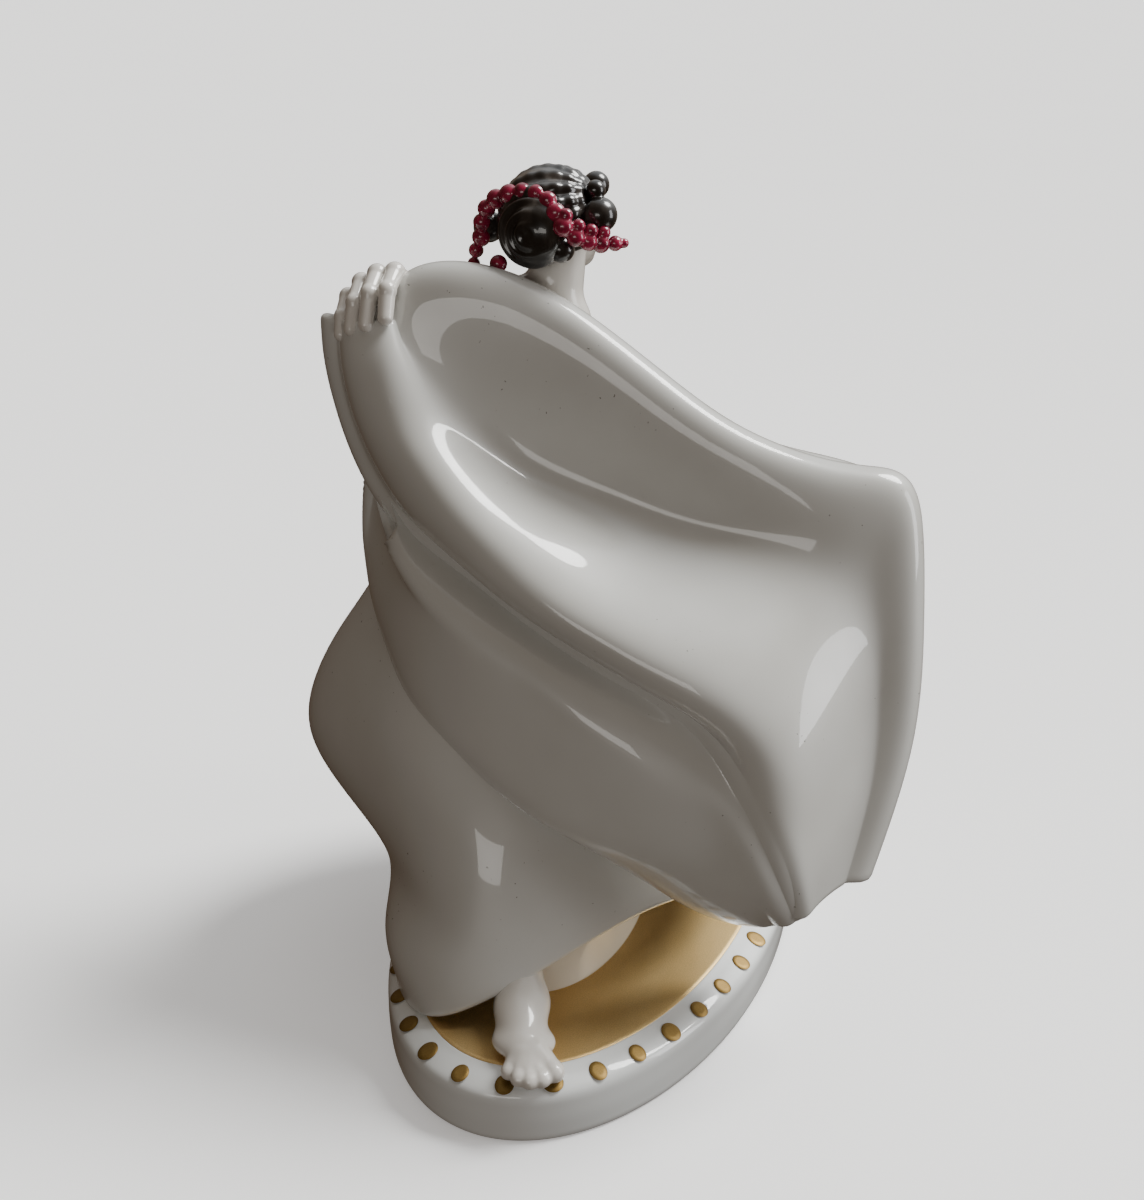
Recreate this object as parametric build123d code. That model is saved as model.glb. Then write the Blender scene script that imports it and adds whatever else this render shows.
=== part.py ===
from build123d import *
import math
import os

# Porcelain figurine: a dancer on an oval plinth who holds a wide cape open with both hands.
# Slip-cast pieces, luted together and glazed. Millimetres, +Z up. The origin is on the table under
# the middle of the plinth, and +Y runs along the oval's long axis. The cape hangs behind her, on the
# -Y side. Her face and chest look towards +Y and a little towards +X.

# ---- driving dimensions ----
PLINTH_X = 52.0            # half width of the oval
PLINTH_Y = 92.0            # half length of the oval
PLINTH_WALL_H = 14.5       # height of the upright wall
PLINTH_TOP = 17.0          # height of the flat top
RIM_BAND = 7.5             # width of the sloping rim, seen from above
PLINTH_WALL = 5.5
PLINTH_PLATE = 4.5
VENT_R = 4.0               # firing vents through the top, inside the skirt
VENTS = [(-8.0, 8.0), (-8.0, -22.0)]
GILT = 0.2                 # thickness of the gilding
FLOOR_Z = PLINTH_TOP + GILT  # what stands on the gilding starts here
DOT_COUNT = 38
DOT_R = 2.6
BODY_WALL = 3.2            # wall of the cast skirt and bodice
CAPE_WALL = 3.4
WAIST_Z = 130.0
BODICE_Z = 163.0           # top edge of the bodice
BEAD_R = 1.5
BEAD_GAP = 0.05            # glaze line under each bead
FINGER_R = 2.3
FIGURE_PLACE = (-2.4, 9.4, 0.0)  # where the figure stands on the plinth
FIGURE_TURN = 2.5          # and its turn about the vertical, anticlockwise
FACE_TURN = -30.0          # the face looks this far clockwise from +Y
HEAD_AT = (-13.5, -1.0, 202.0)
HEAD_R = (9.6, 11.4, 12.4)
HAIR_AT = (-15.0, -2.6, 203.6)
HAIR_R = (13.2, 13.4, 12.4)


# ---- helpers ----
def closed_section(z, points):
    """A flat closed section at height z through the given points."""
    return make_face(Spline(*[(x, y, z) for x, y in points], periodic=True))


def inset(points, by):
    """The section's points moved towards their middle by a wall thickness."""
    mid_x = sum(x for x, _ in points) / len(points)
    mid_y = sum(y for _, y in points) / len(points)
    moved = []
    for x, y in points:
        keep = 1 - by / math.hypot(x - mid_x, y - mid_y)
        moved.append((mid_x + (x - mid_x) * keep, mid_y + (y - mid_y) * keep))
    return moved


def oval_points(cx, cy, rx, ry, turn=0.0, count=8):
    """Points round an ellipse whose x radius is turned by some degrees."""
    a = math.radians(turn)
    points = []
    for k in range(count):
        x = rx * math.cos(2 * math.pi * k / count)
        y = ry * math.sin(2 * math.pi * k / count)
        points.append((cx + x * math.cos(a) - y * math.sin(a), cy + x * math.sin(a) + y * math.cos(a)))
    return points


def cast_body(sections, by=0.0):
    """A smooth body through sections of (height, points), each moved inwards by a wall."""
    faces = [closed_section(z, inset(points, by)) for z, points in sections]
    return loft(faces)


def egg(centre, radii, turn=0.0):
    """An ellipsoid turned about the vertical."""
    return Location(centre, (0, 0, turn)) * scale(Sphere(1.0), by=radii)


def limb(points, radii):
    """A round limb through joints: tapered bones with a ball at each joint."""
    shape = Location(points[0]) * Sphere(radii[0])
    for k in range(len(points) - 1):
        start, end = Vector(*points[k]), Vector(*points[k + 1])
        plane = Plane(origin=start, z_dir=end - start)
        far = plane.offset((end - start).length)
        shape += loft([plane * Circle(radii[k]), far * Circle(radii[k + 1])])
        shape += Location(points[k + 1]) * Sphere(radii[k + 1])
    return shape


def sheet(rows, wall):
    """A sheet of even thickness: a smooth face through rows of points, thickened away from -Y."""
    face = Face.make_surface_from_array_of_points([[Vector(*p) for p in row] for row in rows])
    away = -1 if face.normal_at(face.center()).Y < 0 else 1
    return Solid.thicken(face, away * wall)


def clear_of(shape, others):
    """The shape with every other piece cut away, so the two meet without overlapping."""
    for other in others:
        shape = shape - other
    return shape


def biggest(shape):
    """The largest solid of a shape, without the crumbs a cut leaves."""
    return max(shape.solids(), key=lambda solid: solid.volume)


def write(solids, name, place=None):
    solids = solids if isinstance(solids, list) else [biggest(solids)]
    if place is not None:
        solids = [solid.moved(place) for solid in solids]
    export_step(Compound(children=solids), f"parts/{name}.step")
    print(name, len(solids), all(solid.is_valid for solid in solids))


# ---- plinth ----
def oval(z, inside=0.0):
    return Pos(0, 0, z) * Ellipse(PLINTH_X - inside, PLINTH_Y - inside)


def vented(shape):
    for x, y in VENTS:
        shape -= Pos(x, y, PLINTH_TOP) * Cylinder(VENT_R, PLINTH_TOP * 2)
    return shape


def make_plinth():
    wall = extrude(oval(0), PLINTH_WALL_H)
    cap = loft([oval(PLINTH_WALL_H), oval(PLINTH_TOP, RIM_BAND)], ruled=True)
    hollow = extrude(oval(0, PLINTH_WALL), PLINTH_TOP - PLINTH_PLATE)
    return vented(wall + cap - hollow)


def make_rim_dots(rim_parts):
    """Gilt dots at even steps round the sloping rim, left out where porcelain stands on it."""
    steps = 2000
    rx, ry = PLINTH_X - RIM_BAND / 2, PLINTH_Y - RIM_BAND / 2
    turns = [2 * math.pi * k / steps for k in range(steps)]
    curve = [(rx * math.sin(t), -ry * math.cos(t)) for t in turns]
    lengths = [math.dist(curve[k], curve[k - 1]) for k in range(steps)]
    pitch = sum(lengths) / DOT_COUNT
    slope = math.degrees(math.atan2(PLINTH_TOP - PLINTH_WALL_H, RIM_BAND))
    mid_z = (PLINTH_TOP + PLINTH_WALL_H) / 2
    dots = []
    travelled = pitch / 2
    for k in range(steps):
        travelled += lengths[k]
        if travelled < pitch:
            continue
        travelled -= pitch
        x, y = curve[k]
        outward = math.degrees(math.atan2(y / ry**2, x / rx**2))
        place = Location((x, y, mid_z), (0, 0, outward)) * Location((0, 0, 0), (0, slope, 0))
        whole = place * Cylinder(DOT_R, 2 * GILT)
        dot = clear_of(whole, rim_parts)
        if dot.volume > 0.3 * whole.volume:
            dots.append(biggest(dot))
    return dots


# ---- skirt: sections as (x, y), anticlockwise from the +X side ----
SKIRT = [
    (FLOOR_Z, [(43, -22), (35, 28), (5, 58), (-27, 43), (-41, 0), (-39, -52), (-19, -83), (22, -50)]),
    (32, [(42, -20), (34, 25), (3, 56), (-32, 42), (-49, -3), (-41, -54), (-13, -80), (21, -49)]),
    (46, [(36, -16), (30, 25), (0, 52), (-44, 38), (-71, -5), (-50, -47), (-12, -76), (18, -51)]),
    (60, [(31, -13), (25, 24), (-5, 46), (-56, 28), (-84.5, -15), (-59, -46), (-14, -69), (14, -49)]),
    (75, [(23, -11), (15, 22), (-12, 38), (-56, 24), (-82, -15), (-59, -42), (-22, -57), (5, -41)]),
    (92, [(11, -9), (4, 18), (-22, 30), (-54, 20), (-73, -12), (-56, -33), (-31, -42), (-6, -31)]),
    (112, [(-5, -7), (-10, 11), (-29, 18), (-48, 12), (-61, -9), (-52, -22), (-34, -28), (-14, -20)]),
    (WAIST_Z, oval_points(-30, -5, 19, 13.5, -8)),
]
HEM_LOW = (-19.0, FLOOR_Z)   # where the lifted hem leaves the plinth: x, height
HEM_HIGH = (20.0, 38.0)      # where the hem reaches its full height
UNDERSKIRT = [
    (FLOOR_Z, oval_points(-9, -18, 26, 49, 8)),
    (36, oval_points(-10, -18, 24, 45, 6)),
    (58, oval_points(-14, -17, 20, 36, 0)),
]


def make_skirt():
    lifted = Plane.XZ * make_face(
        Polyline(
            (HEM_LOW[0], FLOOR_Z - 1),
            HEM_LOW,
            HEM_HIGH,
            (PLINTH_X * 2, HEM_HIGH[1]),
            (PLINTH_X * 2, FLOOR_Z - 1),
            close=True,
        )
    )
    under_hem = extrude(lifted, PLINTH_Y * 2)
    return cast_body(SKIRT) - cast_body(SKIRT, BODY_WALL) - under_hem


# ---- bodice, shoulders and neck ----
TORSO = [
    (WAIST_Z, oval_points(-30, -5, 19, 13.5, -8)),
    (146, oval_points(-23, -3, 18, 13, -8)),
    (BODICE_Z, oval_points(-15, -2, 20, 12, -8)),
    (172, oval_points(-16, -2, 18.5, 9.5, -8)),
    (179, oval_points(-16, -3, 13, 8, -8)),
    (185, oval_points(-13, -3, 7, 6.5, -8)),
]
NECK = [(-12, -3, 183), (-13, -2, 194)]


# ---- arms and hands: the left hand is raised, the right one is held out low ----
LEFT_ARM = [(-29, -4, 174), (-48, 0, 152), (-52, -15, 174)]
LEFT_ARM_R = [6.5, 5.0, 3.5]
LEFT_PALM = ((-52.5, -17, 179.5), (7.4, 5.0, 8.0))
LEFT_FINGERS = [
    [(-45.5, -19, 186), (-47.5, -25, 191.5), (-46.8, -31.5, 188.5), (-46.3, -34.5, 182.5)],
    [(-50, -19, 186), (-52, -25.5, 191), (-51.3, -32, 187.5), (-51.3, -35, 180.5)],
    [(-54.5, -19, 184), (-56.3, -25.5, 188.7), (-55.6, -31.5, 185), (-55.5, -34.5, 179)],
    [(-58.5, -19, 181), (-60.3, -25, 184.8), (-59.8, -30, 181), (-59.3, -32.5, 177)],
    [(-49, -17, 178), (-44, -19, 177)],
]
RIGHT_ARM = [(2, -3, 162), (32, -6, 141), (58, -8, 134)]
RIGHT_ARM_R = [6.5, 4.9, 3.5]
RIGHT_PALM = ((64, -8, 132), (7.5, 4.5, 6.0))
RIGHT_FINGERS = [
    [(68, -8, 136), (74, -6, 136), (76, -2, 133)],
    [(69, -8, 132), (75, -6, 132), (77, -2, 129)],
    [(68, -8, 129), (74, -6, 128), (76, -2, 125)],
    [(66, -8, 126), (71, -6, 124), (73, -2, 122)],
    [(61, -6, 136), (65, -1, 138)],
]


def make_hand(palm, fingers):
    hand = egg(*palm)
    for chain in fingers:
        hand += limb(chain, [FINGER_R] * (len(chain) - 1) + [FINGER_R * 0.85])
    return hand


# ---- feet: the right toes rest on the plinth's rim, the left foot is in front of her ----
RIGHT_FOOT = ((-1, -60, 38), (-1, -69, 28), (5, -88, 22.5))
RIGHT_TOES = [
    (15, -94, 18.9),
    (12.9, -96.8, 18.6),
    (10.4, -98.2, 18.5),
    (7.6, -98.2, 18.5),
    (4.6, -96.8, 18.5),
]
LEFT_FOOT = ((12, 33, 34), (13, 37, 25), (20, 53, 21.5))
LEFT_TOES = [(24, 61, 19.2), (27, 60, 19.2), (29.5, 58, 19.2), (31, 55.5, 19.2), (32, 53, 19.2)]


def make_foot(joints, toes):
    """A bare foot: shin, heel, ball and five toes."""
    shin, ankle, ball_joint = joints
    foot = limb([shin, ankle, ball_joint], [6.0, 5.2, 4.2])
    for k, toe in enumerate(toes):
        foot += limb([ball_joint, toe], [3.4, 2.3 - 0.15 * k])
    return foot


# ---- hair and garland ----
BUN = ((-16.0, -13.0, 201.5), (9.5, 6.6, 8.6))
CURLS = [
    ((-30.5, -4.5, 200.0), 4.0),
    ((-2.6, -5.0, 210.2), 2.6),
    ((-1.0, -6.5, 204.6), 4.3),
    ((-8.6, -13.5, 197.2), 3.2),
    ((-6.5, 9.0, 211.0), 3.6),
    ((-20.0, 8.5, 210.5), 3.6),
]
# The garland's run over the hair; each bead is moved in or out to rest on it.
GARLAND = [
    (-30.5, -8, 198.5),
    (-30, -8, 203),
    (-27.5, -9, 207.5),
    (-22.5, -10, 210),
    (-17.5, -11, 211),
    (-12.5, -11.5, 210),
    (-9, -12.5, 207.5),
    (-6.5, -13.5, 204),
    (-4, -13, 201),
    (-0.5, -10.5, 198.5),
]
GARLAND_BEADS = 13
DROPS = [(-33.8, -7.0, 193.8), (-34.1, -6.6, 190.7), (-34.2, -6.2, 187.6), (3.4, -6.0, 198.4)]


def make_hair(taken):
    fx, fy = math.cos(math.radians(90 + FACE_TURN)), math.sin(math.radians(90 + FACE_TURN))
    front = (HEAD_AT[0] + 3.5 * fx, HEAD_AT[1] + 3.5 * fy, HEAD_AT[2])
    cap = split(egg(HAIR_AT, HAIR_R, FACE_TURN), Plane(origin=front, z_dir=(fx, fy, -0.6)), keep=Keep.BOTTOM)
    cap = biggest(clear_of(cap, taken))
    bun = biggest(clear_of(egg(*BUN, FACE_TURN), [cap, *taken]))
    curls = []
    for centre, radius in CURLS:
        curls.append(biggest(clear_of(Location(centre) * Sphere(radius), [cap, bun, *taken, *curls])))
    return cap, bun, curls


def make_beads(places, taken):
    beads = []
    for place in places:
        bead = Location(place, (0, 0, 35)) * Sphere(BEAD_R)
        near = [other for other in taken if bead.distance_to(other) < 0.01]
        beads.append(biggest(clear_of(bead, near)))
    return beads


def make_garland(taken):
    """Beads set on the hair along the garland's curve, lifted where the bun or a curl is in the way."""
    curve = Spline(*GARLAND)
    centre = Vector(*HAIR_AT)
    beads = []
    for k in range(GARLAND_BEADS):
        local = (curve.position_at(k / (GARLAND_BEADS - 1)) - centre).rotate(Axis.Z, -FACE_TURN)
        size = math.sqrt(sum((c / r) ** 2 for c, r in zip(local, HAIR_R)))
        foot = local * (1 / size)
        normal = Vector(*[c / r**2 for c, r in zip(foot, HAIR_R)]).normalized().rotate(Axis.Z, FACE_TURN)
        foot = centre + foot.rotate(Axis.Z, FACE_TURN)
        lift = BEAD_R + BEAD_GAP
        bead = Location(foot + normal * lift) * Sphere(BEAD_R)
        while min(bead.distance_to(other) for other in [*taken, *beads]) < BEAD_GAP:
            lift += 0.4
            bead = Location(foot + normal * lift) * Sphere(BEAD_R)
        beads.append(biggest(bead))
    return beads


# ---- cape: rows across it from its top edge to its hem, each from the left hand to the right ----
CAPE = [
    [(-47, -24, 184), (-32, -22, 190.8), (0, -20, 178), (35, -22, 156.5), (68, -17, 147), (81.5, -15, 134),
     (85.5, -24, 82), (79.5, -34, 50)],
    [(-50.5, -28, 181), (-37, -30, 167), (-9, -25, 144), (26, -26, 133), (60, -28, 125), (72, -26, 108),
     (75, -31, 72), (72, -38, 49.5)],
    [(-52, -33, 177), (-42, -41, 154), (-21.5, -50, 136), (12, -57, 117.5), (44, -58, 103.5), (61, -55, 79),
     (63, -53, 65), (65, -51, 52)],
    [(-60, -27, 171), (-56, -29, 150), (-34, -42, 125), (3, -51, 106), (34, -54, 93), (49, -54, 77),
     (57, -53, 61), (61, -49, 48.5)],
    [(-58, -21, 155), (-56, -24, 122), (-44, -38, 92), (-15, -56, 76.6), (13, -62, 66.5), (34, -53, 50),
     (48, -45, 39.5), (56, -43, 40)],
]
# The same cloth carried over the right arm and down in front of it.
RETURN = [
    [(20, -17, 163), (42, -18, 152.5), (62, -15, 147), (76, -12, 143)],
    [(26, -4, 157), (44, -2, 150), (62, 1, 146), (75, 2, 142)],
    [(28, 6, 150), (45, 9, 144), (61, 11, 140), (74, 11, 137)],
    [(30, 8, 134), (46, 12, 126), (62, 14, 122), (74, 13, 122)],
]


def main():
    os.makedirs("parts", exist_ok=True)
    place = Location(FIGURE_PLACE, (0, 0, FIGURE_TURN))
    plinth = make_plinth()
    gold_field = vented(extrude(oval(PLINTH_TOP, RIM_BAND), GILT))
    ground = [plinth.moved(place.inverse()), gold_field.moved(place.inverse())]
    skirt = biggest(make_skirt())
    underskirt = cast_body(UNDERSKIRT) - cast_body(UNDERSKIRT, BODY_WALL)
    underskirt = biggest(underskirt - skirt)
    right_foot = biggest(clear_of(make_foot(RIGHT_FOOT, RIGHT_TOES), [*ground, skirt, underskirt]))
    left_foot = biggest(clear_of(make_foot(LEFT_FOOT, LEFT_TOES), [*ground, skirt, underskirt]))
    dots = make_rim_dots([plinth, skirt.moved(place), right_foot.moved(place), left_foot.moved(place)])
    torso = cast_body(TORSO)
    bodice = split(torso, Plane.XY.offset(BODICE_Z), keep=Keep.BOTTOM)
    core = cast_body(TORSO[:3], BODY_WALL)
    bodice = biggest(bodice - core)
    neck = split(torso, Plane.XY.offset(BODICE_Z), keep=Keep.TOP) + limb(NECK, [5.4, 5.0])
    head = biggest(egg(HEAD_AT, HEAD_R, FACE_TURN) - neck)
    hair_cap, hair_bun, curls = make_hair([head, neck])
    beads = make_garland([hair_bun, *curls])
    drops = make_beads(DROPS, [hair_cap, hair_bun, head, neck, *curls, *beads])
    left_arm = biggest(clear_of(limb(LEFT_ARM, LEFT_ARM_R), [bodice, core, neck]))
    right_arm = biggest(clear_of(limb(RIGHT_ARM, RIGHT_ARM_R), [bodice, core, neck]))
    body = [skirt, bodice, neck, left_arm, right_arm]
    cape = biggest(clear_of(sheet(CAPE, CAPE_WALL), body))
    cape_return = biggest(clear_of(sheet(RETURN, CAPE_WALL), [cape, right_arm]))
    left_hand = biggest(clear_of(make_hand(LEFT_PALM, LEFT_FINGERS), [left_arm, cape]))
    right_hand = biggest(clear_of(make_hand(RIGHT_PALM, RIGHT_FINGERS), [right_arm, cape, cape_return]))
    write(plinth, "plinth")
    write(gold_field, "gold_field")
    write(dots, "gold_dots")
    write(skirt, "skirt", place)
    write(underskirt, "underskirt", place)
    write(right_foot, "right_foot", place)
    write(left_foot, "left_foot", place)
    write(bodice, "bodice", place)
    write(neck, "shoulders", place)
    write(head, "head", place)
    write(hair_cap, "hair_cap", place)
    write(hair_bun, "hair_bun", place)
    write(curls, "hair_curls", place)
    write(beads, "garland_beads", place)
    write(drops, "garland_drops", place)
    write(left_arm, "left_arm", place)
    write(right_arm, "right_arm", place)
    write(cape, "cape", place)
    write(cape_return, "cape_return", place)
    write(left_hand, "left_hand", place)
    write(right_hand, "right_hand", place)


main()
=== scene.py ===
import math

import bpy
import numpy as np
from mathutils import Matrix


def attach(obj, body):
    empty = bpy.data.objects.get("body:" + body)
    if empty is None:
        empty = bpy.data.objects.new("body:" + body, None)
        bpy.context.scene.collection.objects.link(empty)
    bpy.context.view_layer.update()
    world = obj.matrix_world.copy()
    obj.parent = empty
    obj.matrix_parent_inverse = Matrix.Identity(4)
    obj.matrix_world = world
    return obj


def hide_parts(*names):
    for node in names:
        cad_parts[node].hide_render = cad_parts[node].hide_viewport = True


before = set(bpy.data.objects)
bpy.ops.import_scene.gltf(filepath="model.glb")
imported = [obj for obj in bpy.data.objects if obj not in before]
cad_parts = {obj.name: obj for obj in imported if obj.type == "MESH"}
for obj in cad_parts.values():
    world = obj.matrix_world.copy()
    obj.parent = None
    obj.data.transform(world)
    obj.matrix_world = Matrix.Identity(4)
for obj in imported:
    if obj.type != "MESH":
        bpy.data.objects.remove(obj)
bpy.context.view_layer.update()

import openvdb
from mathutils import Vector

# A glazed porcelain dancer on an oval plinth. Shapes are in millimetres and become metres when a mesh
# is made. The plinth is in the CAD frame. The figure's pieces are in the figure's own frame, and
# make_piece turns them and sets them on the plinth. Floor, lights and camera are in metres.
MM = 0.001
PLINTH_X = 52.0
PLINTH_Y = 92.0
PLINTH_TOP = 17.0
RIM_BAND = 7.5
WALL_H = 14.5
PLINTH_SHRINK = 0.0012
RIM_SLOPE = (PLINTH_TOP - WALL_H) / RIM_BAND
DOT_COUNT = 38
DOT_R = 2.4
DOT_INSIDE = 3.0
FIGURE_PLACE = np.array([-2.4, 9.4, 0.0])
FIGURE_TURN = math.radians(2.5)
CAPE_WALL = 3.2
SKIRT_WALL = 3.0
FACE_TURN = math.radians(-30)
LEFT_ELBOW = (-48, 0, 153)
RIGHT_SHOULDER = (2, -3, 163)
RIGHT_ELBOW = (32, -6, 142)
HEAD_AT = np.array([-13.5, -1.0, 202.0])
HAIR_AT = np.array([-15.0, -2.6, 203.6])
BUN_AT = (-16, -12.5, 200.8)
FAR_AWAY = 50.0
UP = np.array([0, 0, 1.0])


# ---- smooth curves and surfaces ----
def knots(points):
    """Positions along a polyline from 0 to 1, by its length."""
    steps = np.linalg.norm(np.diff(points, axis=0), axis=1)
    total = np.concatenate([[0.0], np.cumsum(steps)])
    return total / total[-1]


def spline_weights(t, s):
    """Weights that turn values at knots t into a natural cubic spline's values at s."""
    n = len(t)
    h = np.diff(t)
    left, right = np.eye(n), np.zeros((n, n))
    for i in range(1, n - 1):
        left[i, i - 1 : i + 2] = h[i - 1], 2 * (h[i - 1] + h[i]), h[i]
        right[i, i - 1 : i + 2] = 6 / h[i - 1], -6 / h[i - 1] - 6 / h[i], 6 / h[i]
    bend = np.linalg.solve(left, right)
    span = np.clip(np.searchsorted(t, s, side="right") - 1, 0, n - 2)
    width = h[span]
    a, b = (t[span + 1] - s) / width, (s - t[span]) / width
    weights = ((a**3 - a) * width**2 / 6)[:, None] * bend[span]
    weights += ((b**3 - b) * width**2 / 6)[:, None] * bend[span + 1]
    rows = np.arange(len(s))
    weights[rows, span] += a
    weights[rows, span + 1] += b
    return weights


def curve(points, count):
    """Even samples of a smooth curve through points."""
    points = np.array(points, float)
    return spline_weights(knots(points), np.linspace(0, 1, count)) @ points


def surface(rows, down, along):
    """A smooth grid through rows of matched points: down x along samples."""
    rows = np.array(rows, float)
    t_along = np.mean([knots(row) for row in rows], axis=0)
    t_down = np.mean([knots(rows[:, k]) for k in range(rows.shape[1])], axis=0)
    across = spline_weights(t_along, np.linspace(0, 1, along))
    up = spline_weights(t_down, np.linspace(0, 1, down))
    return np.einsum("dr,ak,rkc->dac", up, across, rows)


def ring_surface(rows, down, around):
    """The same, closed on itself along each row."""
    rows = np.array(rows, float)
    wrapped = np.concatenate([rows[:, -4:], rows, rows[:, :5]], axis=1)
    t = np.mean([knots(row) for row in wrapped], axis=0)
    start, end = t[4], t[4 + rows.shape[1]]
    across = spline_weights(t, np.linspace(start, end, around, endpoint=False))
    t_down = np.mean([knots(rows[:, k]) for k in range(rows.shape[1])], axis=0)
    up = spline_weights(t_down, np.linspace(0, 1, down))
    return np.einsum("dr,ak,rkc->dac", up, across, wrapped)


def unit(vectors):
    return vectors / np.maximum(np.linalg.norm(vectors, axis=-1, keepdims=True), 1e-9)


def grid_normals(grid, closed=False):
    if closed:
        padded = np.concatenate([grid[:, -1:], grid, grid[:, :1]], axis=1)
        along = np.gradient(padded, axis=1)[:, 1:-1]
    else:
        along = np.gradient(grid, axis=1)
    return unit(np.cross(along, np.gradient(grid, axis=0)))


# ---- meshes ----
def make_piece(name, verts, faces, material, slot, node_names, figure=True):
    """A mesh object in metres that rides on the body and stands for its CAD nodes. The figure's own
    pieces are turned and set on the plinth."""
    verts = np.array(verts, float)
    if figure:
        c, s = math.cos(FIGURE_TURN), math.sin(FIGURE_TURN)
        x, y = c * verts[:, 0] - s * verts[:, 1], s * verts[:, 0] + c * verts[:, 1]
        verts = np.stack([x, y, verts[:, 2]], axis=1) + FIGURE_PLACE
    mesh = bpy.data.meshes.new(name)
    mesh.from_pydata((verts * MM).tolist(), [], [list(map(int, f)) for f in faces])
    mesh.validate()
    piece = bpy.data.objects.new(name, mesh)
    bpy.context.scene.collection.objects.link(piece)
    mesh.polygons.foreach_set("use_smooth", [True] * len(mesh.polygons))
    mesh.materials.append(material)
    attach(piece, "root")
    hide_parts(*node_names)
    return piece


def quads(index):
    """The quads of a 2-D array of vertex numbers."""
    a, b, c, d = index[:-1, :-1], index[:-1, 1:], index[1:, 1:], index[1:, :-1]
    return np.stack([a, b, c, d], axis=-1).reshape(-1, 4)


def sheet_mesh(grid, wall, side=1.0, rim_steps=6):
    """A sheet with thickness and a rounded rim. side says which way the wall goes from the grid."""
    rows, cols = grid.shape[:2]
    wall = np.broadcast_to(np.asarray(wall, float), (rows, cols))[..., None]
    inner = grid + side * grid_normals(grid) * wall
    index = np.arange(rows * cols).reshape(rows, cols)
    loop = np.concatenate([index[0, :-1], index[:-1, -1], index[-1, :0:-1], index[:0:-1, 0]])
    flat_out, flat_in = grid.reshape(-1, 3), inner.reshape(-1, 3)
    r, c = loop // cols, loop % cols
    inside_r, inside_c = np.clip(r, 1, rows - 2), np.clip(c, 1, cols - 2)
    away = unit(flat_out[loop] - flat_out[inside_r * cols + inside_c])
    middle = (flat_out[loop] + flat_in[loop]) / 2
    half = (flat_out[loop] - flat_in[loop]) / 2
    reach = np.linalg.norm(half, axis=1, keepdims=True)
    rings, verts = [loop], [flat_out, flat_in]
    count = 2 * rows * cols
    for step in range(1, rim_steps):
        angle = math.pi * step / rim_steps
        verts.append(middle + half * math.cos(angle) + away * reach * math.sin(angle))
        rings.append(np.arange(count, count + len(loop)))
        count += len(loop)
    rings.append(loop + rows * cols)
    band = np.array(rings)
    band = np.concatenate([band, band[:, :1]], axis=1)
    faces = [quads(index), quads(index + rows * cols)[:, ::-1], quads(band)[:, ::-1]]
    return np.concatenate(verts), np.concatenate(faces)


def tube_mesh(rings, cap_low=True, cap_high=True):
    """A closed skin through rings (down x around x 3)."""
    down, around = rings.shape[:2]
    index = np.arange(down * around).reshape(down, around)
    index = np.concatenate([index, index[:, :1]], axis=1)
    faces = quads(index)[:, ::-1].tolist()
    if cap_low:
        faces.append(index[0, :-1].tolist())
    if cap_high:
        faces.append(index[-1, :-1][::-1].tolist())
    return rings.reshape(-1, 3), faces


def revolve_oval(profile, rx, ry, around=256):
    """Rings of a profile of (distance inside the oval, height) carried round an oval."""
    t = np.linspace(0, 2 * math.pi, around, endpoint=False)
    rings = []
    for inside, z in profile:
        x, y = (rx - inside) * np.cos(t), (ry - inside) * np.sin(t)
        rings.append(np.stack([x, y, np.full_like(t, z)], axis=1))
    return np.array(rings)


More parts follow.
